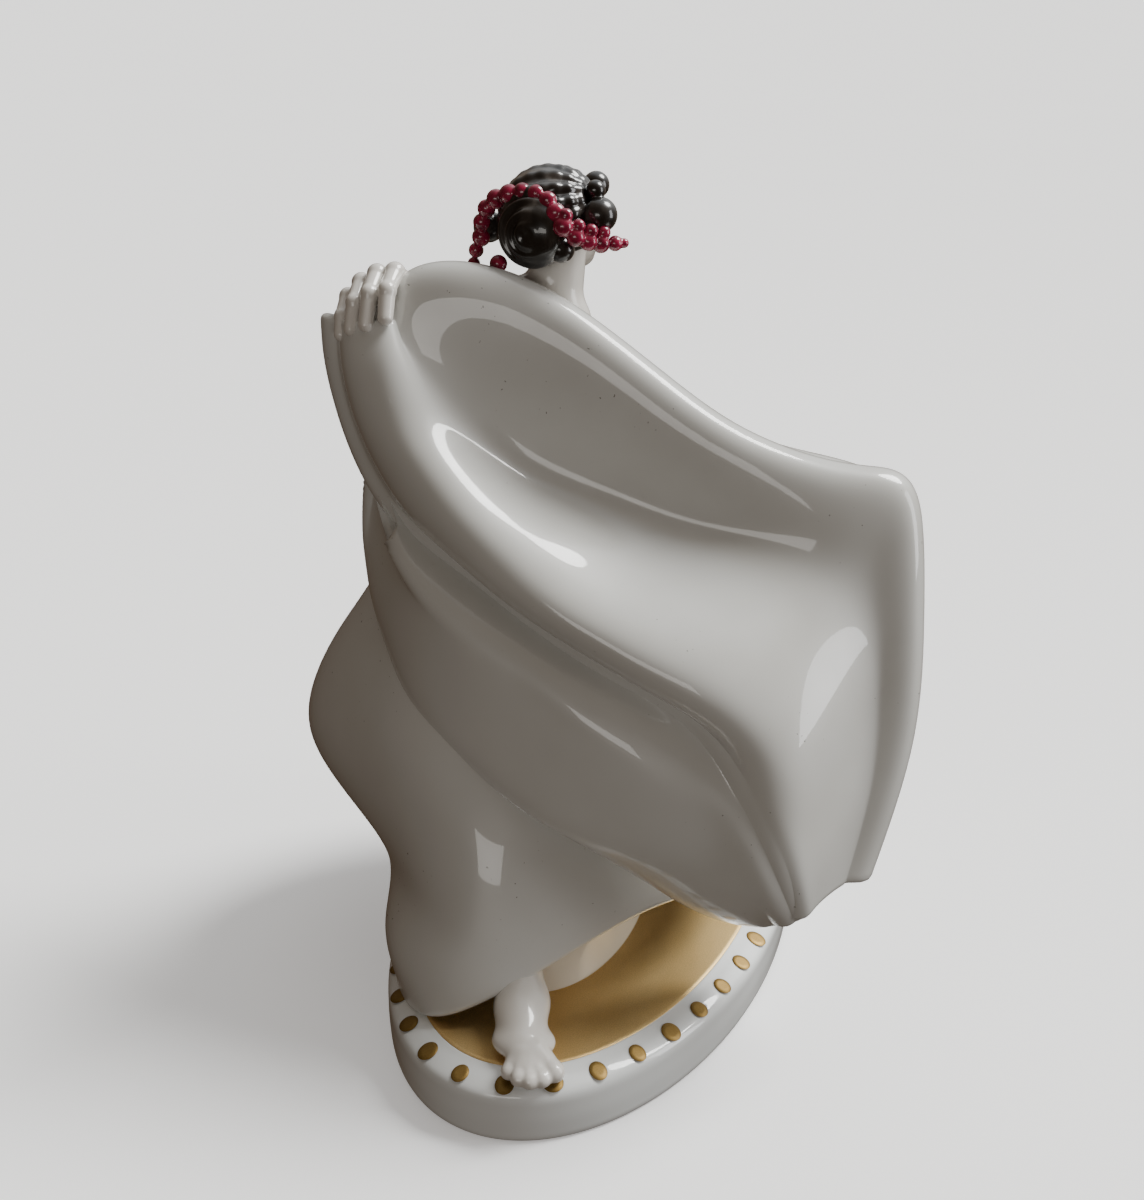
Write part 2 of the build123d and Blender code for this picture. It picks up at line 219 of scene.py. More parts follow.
# ---- clay: solids as distances on a grid, blended and then skinned ----
class Clay:
    def __init__(self, low, high, cell):
        self.low, self.cell = np.array(low, float), cell
        counts = np.ceil((np.array(high) - self.low) / cell).astype(int)
        axes = [self.low[k] + cell * np.arange(counts[k]) for k in range(3)]
        self.at = np.stack(np.meshgrid(*axes, indexing="ij"), axis=-1).astype(np.float32)
        self.far = np.full(self.at.shape[:3], FAR_AWAY, np.float32)

    def ball(self, centre, radii, turn=0.0, tilt=0.0):
        """Distance to an ellipsoid, turned about Z after tilting about its own X."""
        local = self.at - np.array(centre, np.float32)
        c, s = math.cos(-turn), math.sin(-turn)
        x = c * local[..., 0] - s * local[..., 1]
        y = s * local[..., 0] + c * local[..., 1]
        z = local[..., 2]
        ct, st = math.cos(-tilt), math.sin(-tilt)
        y, z = ct * y - st * z, st * y + ct * z
        rx, ry, rz = radii
        k0 = np.sqrt((x / rx) ** 2 + (y / ry) ** 2 + (z / rz) ** 2)
        k1 = np.sqrt((x / rx**2) ** 2 + (y / ry**2) ** 2 + (z / rz**2) ** 2)
        return k0 * (k0 - 1) / np.maximum(k1, 1e-6)

    def bone(self, a, b, ra, rb):
        """Distance to a round bone that tapers from ra at a to rb at b."""
        a, b = np.array(a, np.float32), np.array(b, np.float32)
        along = b - a
        t = np.clip(((self.at - a) @ along) / (along @ along), 0, 1)
        return np.linalg.norm(self.at - a - t[..., None] * along, axis=-1) - (ra + (rb - ra) * t)

    def ring(self, centre, reach, thick):
        """Distance to a round ring that lies across the Y axis."""
        local = self.at - np.array(centre, np.float32)
        flat = np.hypot(local[..., 0], local[..., 2]) - reach
        return np.hypot(flat, local[..., 1]) - thick

    def half_space(self, point, normal):
        normal = np.array(normal, float) / np.linalg.norm(normal)
        return (self.at - np.array(point, np.float32)) @ normal.astype(np.float32)

    def add(self, shape, blend=1.0):
        h = np.maximum(blend - np.abs(self.far - shape), 0) / blend
        self.far = np.minimum(self.far, shape) - h * h * blend / 4

    def cut(self, shape, blend=1.0):
        h = np.maximum(blend - np.abs(self.far + shape), 0) / blend
        self.far = np.maximum(self.far, -shape) + h * h * blend / 4

    def keep(self, shape, blend=1.0):
        self.cut(-shape, blend)

    def clear(self):
        self.far = np.full_like(self.far, FAR_AWAY)

    def skin(self):
        """Vertices in millimetres and faces of the surface."""
        volume = openvdb.FloatGrid(4.0)
        volume.copyFromArray(np.clip(self.far / self.cell, -4, 4).astype(np.float32))
        points, faces = volume.convertToQuads(0.0)
        return points * self.cell + self.low, faces[:, ::-1]


# ---- materials ----
def new_material(name):
    material = bpy.data.materials.new(name)
    material.use_nodes = True
    nodes = material.node_tree.nodes
    nodes.clear()
    out = nodes.new("ShaderNodeOutputMaterial")
    shader = nodes.new("ShaderNodeBsdfPrincipled")
    material.node_tree.links.new(shader.outputs["BSDF"], out.inputs["Surface"])
    return material, material.node_tree, shader


def noise(tree, scale, detail=4.0, stretch=(1, 1, 1), turn=(0, 0, 0)):
    """Noise in object space, in cycles per metre."""
    place = tree.nodes.new("ShaderNodeTexCoord")
    mapping = tree.nodes.new("ShaderNodeMapping")
    mapping.inputs["Scale"].default_value = stretch
    mapping.inputs["Rotation"].default_value = turn
    grain = tree.nodes.new("ShaderNodeTexNoise")
    grain.inputs["Scale"].default_value = scale
    grain.inputs["Detail"].default_value = detail
    tree.links.new(place.outputs["Object"], mapping.inputs["Vector"])
    tree.links.new(mapping.outputs["Vector"], grain.inputs["Vector"])
    return grain.outputs["Fac"]


def ramp(tree, value, stops):
    node = tree.nodes.new("ShaderNodeValToRGB")
    while len(node.color_ramp.elements) < len(stops):
        node.color_ramp.elements.new(0.5)
    for element, (position, colour) in zip(node.color_ramp.elements, stops):
        element.position = position
        element.color = (*colour, 1) if len(colour) == 3 else colour
    tree.links.new(value, node.inputs["Fac"])
    return node.outputs["Color"]


def mix(tree, fac, a, b, kind="MIX"):
    node = tree.nodes.new("ShaderNodeMix")
    node.data_type = "RGBA"
    node.blend_type = kind
    if isinstance(fac, float):
        node.inputs["Factor"].default_value = fac
    else:
        tree.links.new(fac, node.inputs["Factor"])
    tree.links.new(a, node.inputs["A"])
    tree.links.new(b, node.inputs["B"])
    return node.outputs["Result"]


def bump(tree, shader, height, strength, distance_mm):
    node = tree.nodes.new("ShaderNodeBump")
    node.inputs["Strength"].default_value = strength
    node.inputs["Distance"].default_value = distance_mm * MM
    tree.links.new(height, node.inputs["Height"])
    tree.links.new(node.outputs["Normal"], shader.inputs["Normal"])


def glaze(name, low, high, roughness=0.3, specks=False):
    """Glazed porcelain: a softly lit body under a clear hard glaze."""
    material, tree, shader = new_material(name)
    body = ramp(tree, noise(tree, 22, 3), [(0.3, low), (0.7, high)])
    if specks:
        dots = ramp(tree, noise(tree, 900, 2), [(0.73, (1, 1, 1)), (0.77, (0.12, 0.1, 0.08))])
        patch = ramp(tree, noise(tree, 30, 2), [(0.5, (0, 0, 0)), (0.62, (1, 1, 1))])
        body = mix(tree, patch, body, mix(tree, 1.0, body, dots, "MULTIPLY"))
    tree.links.new(body, shader.inputs["Base Color"])
    haze = ramp(tree, noise(tree, 140, 5), [(0.35, (roughness,) * 3), (0.75, (roughness + 0.12,) * 3)])
    tree.links.new(haze, shader.inputs["Roughness"])
    shader.inputs["Coat Weight"].default_value = 1.0
    shader.inputs["Coat Roughness"].default_value = 0.035
    shader.inputs["Coat IOR"].default_value = 1.55
    bump(tree, shader, noise(tree, 55, 2), 0.12, 0.35)
    return material


def make_materials():
    kit = {}
    kit["white"] = glaze("white_glaze", (0.60, 0.595, 0.56), (0.68, 0.68, 0.65), specks=True)
    kit["plinth"] = glaze("plinth_glaze", (0.80, 0.83, 0.82), (0.86, 0.88, 0.87))
    kit["cream"] = glaze("cream_glaze", (0.74, 0.66, 0.52), (0.8, 0.74, 0.62), 0.4)
    kit["skin"] = glaze("skin_glaze", (0.72, 0.69, 0.63), (0.78, 0.75, 0.70))
    kit["hair"] = painted_hair()
    kit["crimson"] = crimson()
    kit["gold"] = gilding("gilding", (0.70, 0.45, 0.16), (0.92, 0.68, 0.32), 0.4)
    kit["dots"] = gilding("dot_gilding", (0.20, 0.125, 0.03), (0.40, 0.26, 0.08), 0.42)
    kit["paint"] = glaze("lip_paint", (0.45, 0.10, 0.09), (0.52, 0.13, 0.11))
    kit["line"] = glaze("line_paint", (0.05, 0.03, 0.025), (0.08, 0.05, 0.04))
    return kit


def painted_hair():
    """Brown-black overglaze laid on with a brush, thinner in streaks."""
    material, tree, shader = new_material("hair_glaze")
    streaks = noise(tree, 260, 6, (1, 1, 0.22), (0.5, 0.35, 0.2))
    washes = noise(tree, 70, 4)
    browns = [(0.38, (0.012, 0.009, 0.008)), (0.56, (0.035, 0.028, 0.024)), (0.72, (0.13, 0.11, 0.095))]
    dark = ramp(tree, streaks, browns)
    pale = ramp(tree, washes, [(0.4, (0.25, 0.25, 0.25)), (0.7, (1, 1, 1))])
    tree.links.new(mix(tree, 1.0, dark, pale, "MULTIPLY"), shader.inputs["Base Color"])
    shader.inputs["Roughness"].default_value = 0.3
    shader.inputs["Coat Weight"].default_value = 1.0
    shader.inputs["Coat Roughness"].default_value = 0.04
    bump(tree, shader, streaks, 0.25, 0.25)
    return material


def crimson():
    material, tree, shader = new_material("crimson_glaze")
    colour = ramp(tree, noise(tree, 400, 4), [(0.3, (0.12, 0.003, 0.02)), (0.7, (0.42, 0.015, 0.07))])
    tree.links.new(colour, shader.inputs["Base Color"])
    shader.inputs["Roughness"].default_value = 0.25
    shader.inputs["Coat Weight"].default_value = 1.0
    shader.inputs["Coat Roughness"].default_value = 0.03
    return material


def gilding(name, low, high, roughness):
    """Burnished gilding: warm metal with fine brushed grain and worn cloudy patches."""
    material, tree, shader = new_material(name)
    clouds = noise(tree, 30, 4, (1, 0.5, 1), (0, 0, -0.5))
    grain = noise(tree, 3600, 3)
    colour = ramp(tree, clouds, [(0.32, low), (0.68, high)])
    fine = ramp(tree, grain, [(0.3, (0.72, 0.70, 0.66)), (0.7, (1.0, 1.0, 1.0))])
    tree.links.new(mix(tree, 1.0, colour, fine, "MULTIPLY"), shader.inputs["Base Color"])
    shader.inputs["Metallic"].default_value = 0.75
    rough = ramp(tree, grain, [(0.3, (roughness,) * 3), (0.75, (roughness + 0.16,) * 3)])
    tree.links.new(rough, shader.inputs["Roughness"])
    bump(tree, shader, grain, 0.25, 0.05)
    return material


# ---- plinth ----
def make_plinth(kit):
    """The glazed plinth, then its gilded top. Profiles run from underneath, round the edge and over."""
    profile = [(PLINTH_X * 0.4, 3.2), (5.5, 3.2), (5.2, 0.5), (4.9, 0.1), (1.6, 0.1), (0.8, 0.4)]
    profile += [(0.4, 1.1), (0.15, 3.0), (0.0, 6.5), (0.05, 10.5), (0.2, 12.6), (0.6, 13.7)]
    profile += [(1.3, 14.45), (2.2, 15.0)]
    profile += [(4.5, WALL_H + 4.5 * RIM_SLOPE), (RIM_BAND - 0.6, PLINTH_TOP - 0.25)]
    profile += [(RIM_BAND, PLINTH_TOP - 0.05), (RIM_BAND + 0.8, PLINTH_TOP - 0.02)]
    profile += [(PLINTH_X * 0.5, PLINTH_TOP - 0.05)]
    fine = curve([(inside, z, 0) for inside, z in profile], 150)[:, :2]
    rings = revolve_oval(fine, PLINTH_X, PLINTH_Y)
    rings[..., :2] *= 1 - PLINTH_SHRINK
    rings[..., 2] = np.maximum(rings[..., 2], 0.02)
    verts, faces = tube_mesh(rings)
    make_piece("plinth_body", verts, faces, kit["plinth"], "plinth_glaze", ["plinth"], figure=False)

    inside = RIM_BAND + 0.25
    profile = [(inside, PLINTH_TOP - 0.1), (inside + 0.15, PLINTH_TOP + 0.12)]
    profile += [(inside + 1.2, PLINTH_TOP + 0.2), (inside + 12, PLINTH_TOP + 0.2)]
    profile += [(PLINTH_X - 0.5, PLINTH_TOP + 0.2)]
    rings = revolve_oval(profile, PLINTH_X, PLINTH_Y)
    verts, faces = tube_mesh(rings)
    make_piece("gold_top", verts, faces, kit["gold"], "gilding", ["gold_field"], figure=False)
    make_dots(kit)


def make_dots(kit):
    """Hand-painted gilt spots at even steps round the sloping rim, each slightly out of round."""
    rng = np.random.default_rng(7)
    t = np.linspace(0, 2 * math.pi, 4000)
    ring = np.stack([(PLINTH_X - DOT_INSIDE) * np.sin(t), -(PLINTH_Y - DOT_INSIDE) * np.cos(t)], axis=1)
    length = knots(ring)
    verts, faces = [], []
    spokes, bands = 28, (0.0, 0.5, 0.86, 1.0)
    for k in range(DOT_COUNT):
        share = (k + 0.5) / DOT_COUNT
        place = np.array([np.interp(share, length, ring[:, 0]), np.interp(share, length, ring[:, 1])])
        outward = unit(place / np.array([PLINTH_X**2, PLINTH_Y**2]))
        side = np.array([-outward[1], outward[0]])
        radius = DOT_R + rng.uniform(-0.2, 0.2)
        squash = 1 + rng.uniform(-0.06, 0.06)
        first = len(verts)
        for band in bands:
            for spoke in range(spokes):
                a = 2 * math.pi * spoke / spokes
                u, v = radius * band * math.cos(a) * squash, radius * band * math.sin(a) / squash
                xy = place + outward * u + side * v
                lift = 0.28 if band < 1 else 0.0
                z = WALL_H + rim_depth(xy) * RIM_SLOPE + lift
                verts.append([xy[0], xy[1], z])
        for ring_no in range(len(bands) - 1):
            for spoke in range(spokes):
                a, b = first + ring_no * spokes + spoke, first + ring_no * spokes + (spoke + 1) % spokes
                faces.append([a, a + spokes, b + spokes, b])
    make_piece("gold_dots_round", verts, faces, kit["dots"], "gilding", ["gold_dots"], figure=False)


def rim_depth(xy):
    """How far a point on the rim is inside the plinth's edge, on a line from the middle."""
    reach = math.hypot(xy[0] / PLINTH_X, xy[1] / PLINTH_Y)
    return (1 - reach) * np.linalg.norm(xy) / reach


# ---- skirt: rows of points from the plinth to the waist, anticlockwise from the +X side ----
SKIRT = [
    (12, [(44, -22), (41, 8), (33, 34), (8, 58), (-14, 56), (-32, 36),
          (-41, 5), (-43, -32), (-39, -62), (-22, -82), (4, -74), (26, -50)]),
    (18, [(44, -22), (41, 8), (33, 34), (8, 57), (-15, 55), (-33, 36),
          (-42, 4), (-44.5, -33), (-40.5, -62.5), (-20, -84), (4, -75), (27, -50)]),
    (26, [(44, -22), (40, 8), (32, 32), (7, 56), (-16, 54), (-35, 35),
          (-46, 3), (-47, -34), (-42, -63), (-19, -84), (5, -74), (27, -49)]),
    (38, [(43, -21), (38, 8), (30, 30), (5, 53), (-19, 51), (-42, 33),
          (-57, 1), (-55, -30), (-38.5, -60), (-14, -80), (8, -70), (28, -48)]),
    (48, [(39, -19), (35, 8), (27, 29), (3, 51), (-23, 49), (-53, 32),
          (-76, 0), (-70, -28), (-43, -56), (-13, -76), (9, -66), (27, -46)]),
    (60, [(33, -16), (30, 8), (22, 26), (-1, 46), (-29, 44), (-60, 27),
          (-82.5, -4), (-79, -27), (-50, -52), (-15, -71), (8, -62), (25, -44)]),
    (74, [(25, -13), (21, 8), (14, 22), (-8, 39), (-33, 37), (-59, 22),
          (-80.5, -5), (-78, -24), (-54, -46), (-22, -63), (4, -56), (19, -38)]),
    (90, [(13, -10), (10, 8), (3, 18), (-16, 30), (-36, 28), (-56, 17),
          (-72.5, -4), (-71, -19), (-54, -37), (-29, -50), (-6, -46), (8, -30)]),
    (108, [(-1, -8), (-4, 5), (-10, 13), (-22, 20), (-36, 19), (-51, 11),
           (-62, -5), (-60.5, -16), (-50, -27), (-34, -36), (-17, -34), (-6, -23)]),
    (122, [(-10, -7), (-12, 1), (-18, 7), (-27, 11), (-37, 10), (-49, 4),
           (-57, -6), (-55, -15), (-46, -22), (-34, -27), (-22, -25), (-14, -17)]),
    (134, [(-11, -6), (-13, 0), (-18, 5), (-26, 8), (-34, 7), (-43, 3),
           (-50, -6), (-48, -13), (-41, -18), (-32, -21), (-22, -20), (-15, -14)]),
]
# The hem's height at each of the same points: down on the plinth on her left, lifted on her right.
HEM = [36, 33, 24, 17.2, 17.2, 17.2, 17.2, 17.2, 17.2, 18, 31, 38.5]
SKIRT_MIDDLE = [-12, -15]


def make_skirt(kit):
    """A thick shell from the hem to the waist, with a rounded lip along the hem."""
    around, down = 360, 150
    heights = np.array([z for z, _ in SKIRT], float)
    rows = [[(x, y, z) for x, y in points] for z, points in SKIRT]
    columns = ring_surface(rows, 400, around)
    hem = ring_surface([[(x, y, z) for (x, y), z in zip(SKIRT[0][1], HEM)], rows[-1]], 2, around)[0, :, 2]
    grid = np.empty((down, around, 3))
    for j in range(around):
        z = columns[:, j, 2]
        wanted = np.linspace(hem[j], heights[-1], down)
        for axis in range(3):
            grid[:, j, axis] = np.interp(wanted, z, columns[:, j, axis])
    normal = grid_normals(grid, closed=True)
    outward = grid[..., :2] - SKIRT_MIDDLE
    side = np.sign((normal[..., :2] * outward).sum(-1).mean())
    inner = grid - normal * SKIRT_WALL * side
    middle, half = (grid[0] + inner[0]) / 2, (grid[0] - inner[0]) / 2
    reach = np.linalg.norm(half, axis=1, keepdims=True)
    lip = []
    for step in range(1, 6):
        angle = math.pi * step / 6
        lip.append(middle + half * math.cos(angle) - UP * reach * math.sin(angle))
    rings = np.concatenate([inner[::-1][:-1], inner[:1], np.array(lip[::-1]), grid])
    verts, faces = tube_mesh(rings, cap_low=False, cap_high=False)
    make_piece("skirt_shell", verts, faces, kit["white"], "white_glaze", ["skirt"])
    make_underskirt(kit)


# The underskirt's ovals: height, radii and middle.
UNDERSKIRT = [
    (16.5, 26, 49, -9, -18),
    (19, 25.3, 48, -9, -18),
    (34, 23, 43, -10, -18),
    (56, 18, 34, -14, -17),
]
UNDERSKIRT_TURN = math.radians(8)


def make_underskirt(kit):
    c, s = math.cos(UNDERSKIRT_TURN), math.sin(UNDERSKIRT_TURN)
    rows = []
    for z, rx, ry, cx, cy in UNDERSKIRT:
        ring = []
        for k in range(16):
            a = 2 * math.pi * k / 16
            x, y = rx * math.cos(a), ry * math.sin(a)
            ring.append((cx + x * c - y * s, cy + x * s + y * c, z))
        rows.append(ring)
    verts, faces = tube_mesh(ring_surface(rows, 30, 160))
    make_piece("underskirt_mass", verts, faces, kit["cream"], "cream_glaze", ["underskirt"])


# ---- cape: matched points from the left hand (first) to the right end of the hem (last) ----
CAPE_TOP = [(-47, -24, 184), (-43, -23, 189), (-32, -22, 190.8), (-16, -20, 186.5), (0, -20, 178),
            (17, -21, 167), (35, -22, 156.5), (54, -20, 149.5), (68, -17, 147), (76, -15, 144.5),
            (80, -16, 134), (82.5, -19, 112), (83, -24, 82), (77, -34, 50)]
CAPE_HOLLOW = [(-50.5, -28, 181), (-45, -30, 176), (-37, -30, 167), (-24, -27, 154), (-9, -25, 144),
               (8, -25, 138), (26, -26, 133), (44, -28, 129.5), (60, -28, 125), (68, -26, 119),
               (72, -26, 108), (74.5, -27, 92), (75, -31, 72), (72, -38, 49.5)]
CAPE_RIDGE = [(-51, -32, 179), (-49.5, -36, 171), (-46, -39, 160), (-38.5, -43, 150), (-28, -47.5, 140.5),
              (-14, -52, 131.5), (2, -56, 122), (20, -58, 114.5), (37, -59, 107.5), (50, -58, 99),
              (58.5, -56.5, 87), (62.5, -54.5, 73), (64.5, -52.5, 60), (65.5, -50, 48.5)]
CAPE_EDGE = [(-64.5, -26, 179), (-64.3, -26, 170), (-62.7, -25, 158), (-58, -25.5, 144.5), (-49, -30, 134),
             (-36, -37, 128), (-19, -43, 121), (0, -49, 113), (20, -52.5, 105.5), (37, -53.5, 98),
             (50, -57.5, 85), (58, -58.5, 69), (61.5, -55.5, 56), (63.2, -51, 46.5)]
CAPE_BULGE = [(-58, -21, 164), (-57, -21, 152), (-54, -24, 142), (-47, -33, 130), (-36, -45, 119),
              (-20, -54, 109), (-3, -58, 101), (13, -61.5, 93), (28, -62.5, 84), (40, -61.5, 74),
              (48, -60, 65), (53.5, -58, 56), (57, -54.5, 49.5), (59.5, -50, 44)]
CAPE_HEM = [(-57, -19, 130), (-58, -20, 121), (-57.5, -21, 112.5), (-54, -26, 104.5), (-47, -34, 96),
            (-38, -43, 87.5), (-26, -51, 81), (-12, -57.5, 75.5), (2, -61.5, 70.5), (14, -62, 66),
            (26.6, -57, 56.5), (37, -51.5, 47), (47, -45.5, 40), (56, -43.5, 39.5)]
# How far the groove above the edge bead and the tuck under it are set back, point by point.
GROOVE_DEPTH = [1.2, 1.5, 1.7, 1.7, 1.7, 1.7, 1.6, 1.4, 1.2, 0.7, -0.3, -0.5, -0.3, 0]
TUCK = [4, 4, 4, 4, 4, 4, 3.8, 3.4, 2.8, 1.6, 0.2, 0, 0, 0]
# The lip's last points, past the right hand and down the cape's right end.
LIP_END = [(75.5, -9, 143.5), (79, -10, 133), (81.5, -13, 112), (82, -18, 82), (76.5, -29, 50)]


def moved(points, x=0.0, y=0.0, z=0.0):
    return [(px + x, py + y, pz + z) for px, py, pz in points]


def between(a, b, share=0.5, out=0.0):
    """Points part of the way between two rows, moved out towards -Y."""
    return [
        tuple(np.array(p) * (1 - share) + np.array(q) * share + np.array([0, -out, 0]))
        for p, q in zip(a, b)
    ]


def make_cape(kit):
    """One sheet: lip, hollow, ridge, a turned-out edge bead, and the lower fold that hangs from it."""
    lip = moved(CAPE_TOP, x=0.5, y=6.0, z=-1.5)
    lip[-len(LIP_END):] = LIP_END
    shoulder = between(CAPE_TOP, CAPE_HOLLOW, 0.35, 1.0)
    flank = between(CAPE_RIDGE, CAPE_EDGE, 0.42, 1.2)
    groove = between(CAPE_RIDGE, CAPE_EDGE, 0.8)
    groove = [(x, y + deep, z) for (x, y, z), deep in zip(groove, GROOVE_DEPTH)]
    tucked, brow = [], between(CAPE_EDGE, CAPE_BULGE, 0.5, 1.2)
    for edge, low, deep in zip(CAPE_EDGE, CAPE_BULGE, TUCK):
        toward = np.array(edge) * 0.8 + np.array(low) * 0.2
        tucked.append(tuple(toward + np.array([0.25, 0.75, 0.1]) * deep))
    inward = moved(CAPE_HEM, x=2.0, y=5.0, z=-0.8)
    rows = [lip, CAPE_TOP, shoulder, CAPE_HOLLOW, CAPE_RIDGE, flank, groove, CAPE_EDGE, tucked, brow]
    rows += [CAPE_BULGE, CAPE_HEM, inward]
    verts, faces = sheet_mesh(surface(rows, 300, 360), CAPE_WALL, side=-1.0)
    make_piece("cape_sheet", verts, faces, kit["white"], "white_glaze", ["cape"])
    make_cape_return(kit)


# The same cloth carried over the right arm and down in front of it, in rows of points.
CAPE_RETURN = [
    [(22, -17, 163), (42, -18, 152.5), (62, -15, 147.2), (75.5, -12, 144)],
    [(25, -9, 161), (43, -9, 152.5), (62, -6, 148), (76, -5, 143.5)],
    [(28, -1, 155), (44, -1, 149), (62, 2, 145), (75, 3, 141.5)],
    [(30, 6, 147), (45, 8, 142.5), (61, 10, 139), (73, 10, 136)],
    [(31, 9, 134), (45, 12, 128), (60, 14, 124), (71, 13, 122)],
]


def make_cape_return(kit):
    verts, faces = sheet_mesh(surface(CAPE_RETURN, 80, 140), CAPE_WALL, side=-1.0)
    make_piece("cape_over_arm", verts, faces, kit["white"], "white_glaze", ["cape_return"])


# ---- body ----
def make_body(kit):
    """One torso in two pieces: the bodice up to the neckline, a little fuller, and the shoulders with
    the neck."""
    turn = math.radians(-8)
    clay = Clay((-62, -26, 126), (22, 22, 200), 0.6)
    clay.add(clay.ball((-27, -5, 134), (19, 13, 12), turn), 4)
    clay.add(clay.ball((-21, -3, 150), (16.5, 11.5, 16), turn), 8)
    clay.add(clay.ball((-15, -1, 164), (17, 10, 12), turn), 6)
    clay.add(clay.ball((-21, 8, 158), (6.2, 5.5, 6.2)), 4)
    clay.add(clay.ball((-7, 7, 155), (6.2, 5.5, 6.2)), 4)
    clay.add(clay.bone((-27, -4, 174), RIGHT_SHOULDER, 6.5, 6.5), 5)
    clay.add(clay.ball((-13, -4, 178), (9, 6.5, 6)), 4)
    clay.add(clay.ball((-21, -8, 183), (9, 6.0, 6.0)), 4)
    torso = clay.far.copy()
    dress = clay.half_space((-15, 4, 165), (-0.15, 0.25, 1.0))
    clay.keep(dress, 1.2)
    clay.far -= 0.4
    make_piece("bodice_front", *clay.skin(), kit["white"], "white_glaze", ["bodice"])
    clay.far = torso
    clay.add(clay.bone((-14, -3.5, 180), (-12.5, -2.5, 197), 7.2, 6.8), 3.5)
    clay.keep(clay.half_space((-15, 0, 158), (0, 0, -1.0)), 0.5)
    make_piece("shoulders_neck", *clay.skin(), kit["skin"], "skin_glaze", ["shoulders"])


def make_arms(kit):
    left = Clay((-60, -26, 144), (-18, 12, 186), 0.5)
    left.add(left.bone((-29, -4, 174), LEFT_ELBOW, 6.3, 4.9), 2)
    left.add(left.bone(LEFT_ELBOW, (-52, -14, 172), 4.9, 3.3), 3)
    make_piece("left_arm_bent", *left.skin(), kit["skin"], "skin_glaze", ["left_arm"])
    right = Clay((-6, -20, 126), (74, 8, 174), 0.5)
    right.add(right.bone(RIGHT_SHOULDER, RIGHT_ELBOW, 6.3, 4.8), 2)
    right.add(right.bone(RIGHT_ELBOW, (58, -8, 134.5), 4.8, 3.3), 3)
    make_piece("right_arm_held_out", *right.skin(), kit["skin"], "skin_glaze", ["right_arm"])


# Each finger from its knuckle to its tip.
LEFT_FINGERS = [
    [(-45.5, -19, 186), (-47.5, -25, 191.5), (-46.8, -31.5, 188.5), (-46.3, -34.5, 182.5)],
    [(-50, -19, 186), (-52, -25.5, 191), (-51.3, -32, 187.5), (-51.3, -35, 180.5)],
    [(-54.5, -19, 184), (-56.3, -25.5, 188.7), (-55.6, -31.5, 185), (-55.5, -34.5, 179)],
    [(-58.5, -19, 181), (-60.3, -25, 184.8), (-59.8, -30, 181), (-59.3, -32.5, 177)],
]
RIGHT_FINGERS = [
    [(68, -8, 136), (73, -6.5, 136), (75, -2, 133)],
    [(69, -8, 132.5), (74, -6.5, 132), (76, -2, 129)],
    [(68, -8, 129), (73, -6.5, 128), (75, -2, 125)],
    [(66, -8, 126), (70, -6.5, 124.5), (72, -2, 122)],
]


def add_finger(clay, chain, radius):
    for k in range(len(chain) - 1):
        taper = radius * (1 - 0.09 * k)
        clay.add(clay.bone(chain[k], chain[k + 1], taper, taper * 0.9), 0.5)
        clay.add(clay.ball(chain[k], (taper * 1.06,) * 3), 0.5)


def make_hands(kit):
    left = Clay((-68, -42, 164), (-38, -8, 198), 0.3)
    left.add(left.ball((-52.5, -17, 180), (7.8, 4.8, 8.0), 0.1, 0.3), 2)
    left.add(left.bone((-52, -13, 171), (-52.5, -17, 178), 3.6, 4.2), 2)
    for k, chain in enumerate(LEFT_FINGERS):
        add_finger(left, chain, 2.6 - 0.1 * k)
    add_finger(left, [(-48.5, -16, 177), (-44.5, -17, 180), (-42, -19, 184)], 2.3)
    make_piece("left_hand_fingers", *left.skin(), kit["skin"], "skin_glaze", ["left_hand"])
    right = Clay((53, -16, 116), (83, 6, 144), 0.3)
    right.add(right.ball((64, -8, 131.5), (7.2, 4.2, 6.0), -0.1), 2)
    right.add(right.bone((58, -8, 134), (62, -8, 133), 3.4, 4.0), 2)
    for k, chain in enumerate(RIGHT_FINGERS):
        add_finger(right, chain, 2.3 - 0.12 * k)
    add_finger(right, [(61, -6, 136), (65, -2, 138.5)], 2.2)
    make_piece("right_hand_fingers", *right.skin(), kit["skin"], "skin_glaze", ["right_hand"])


# ---- feet ----
RIGHT_TOES = [
    (15, -94, 18.9),
    (12.9, -96.8, 18.6),
    (10.4, -98.2, 18.5),
    (7.6, -98.2, 18.5),
    (4.6, -96.8, 18.5),
]
LEFT_TOES = [(24, 61, 19.2), (27, 60, 19.2), (29.5, 58, 19.2), (31, 55.5, 19.2), (32, 53, 19.2)]


def add_foot(clay, heel, ankle, ball_joint, toes, shin, turn):
    clay.add(clay.bone(shin, ankle, 5.0, 4.6), 3)
    clay.add(clay.ball(heel, (5.2, 6.2, 4.8), turn), 4)
    clay.add(clay.bone(ankle, ball_joint, 4.6, 3.6), 4)
    clay.add(clay.ball(ball_joint, (7.8, 5.8, 3.4), turn), 4)
    middle = (np.array(ankle) + np.array(ball_joint)) / 2
    clay.add(clay.ball(middle - [0, 0, 1.0], (7.0, 8.5, 4.8), turn), 4)
    for k, toe in enumerate(toes):
        root = np.array(ball_joint) * 0.55 + np.array(toe) * 0.45
        radius = 2.8 if k == 0 else 2.45 - 0.1 * k
        clay.add(clay.bone(root + [0, 0, 0.8], toe, radius * 1.1, radius * 0.85), 1.0)
        clay.add(clay.ball(toe, (radius * 0.92,) * 3), 0.8)


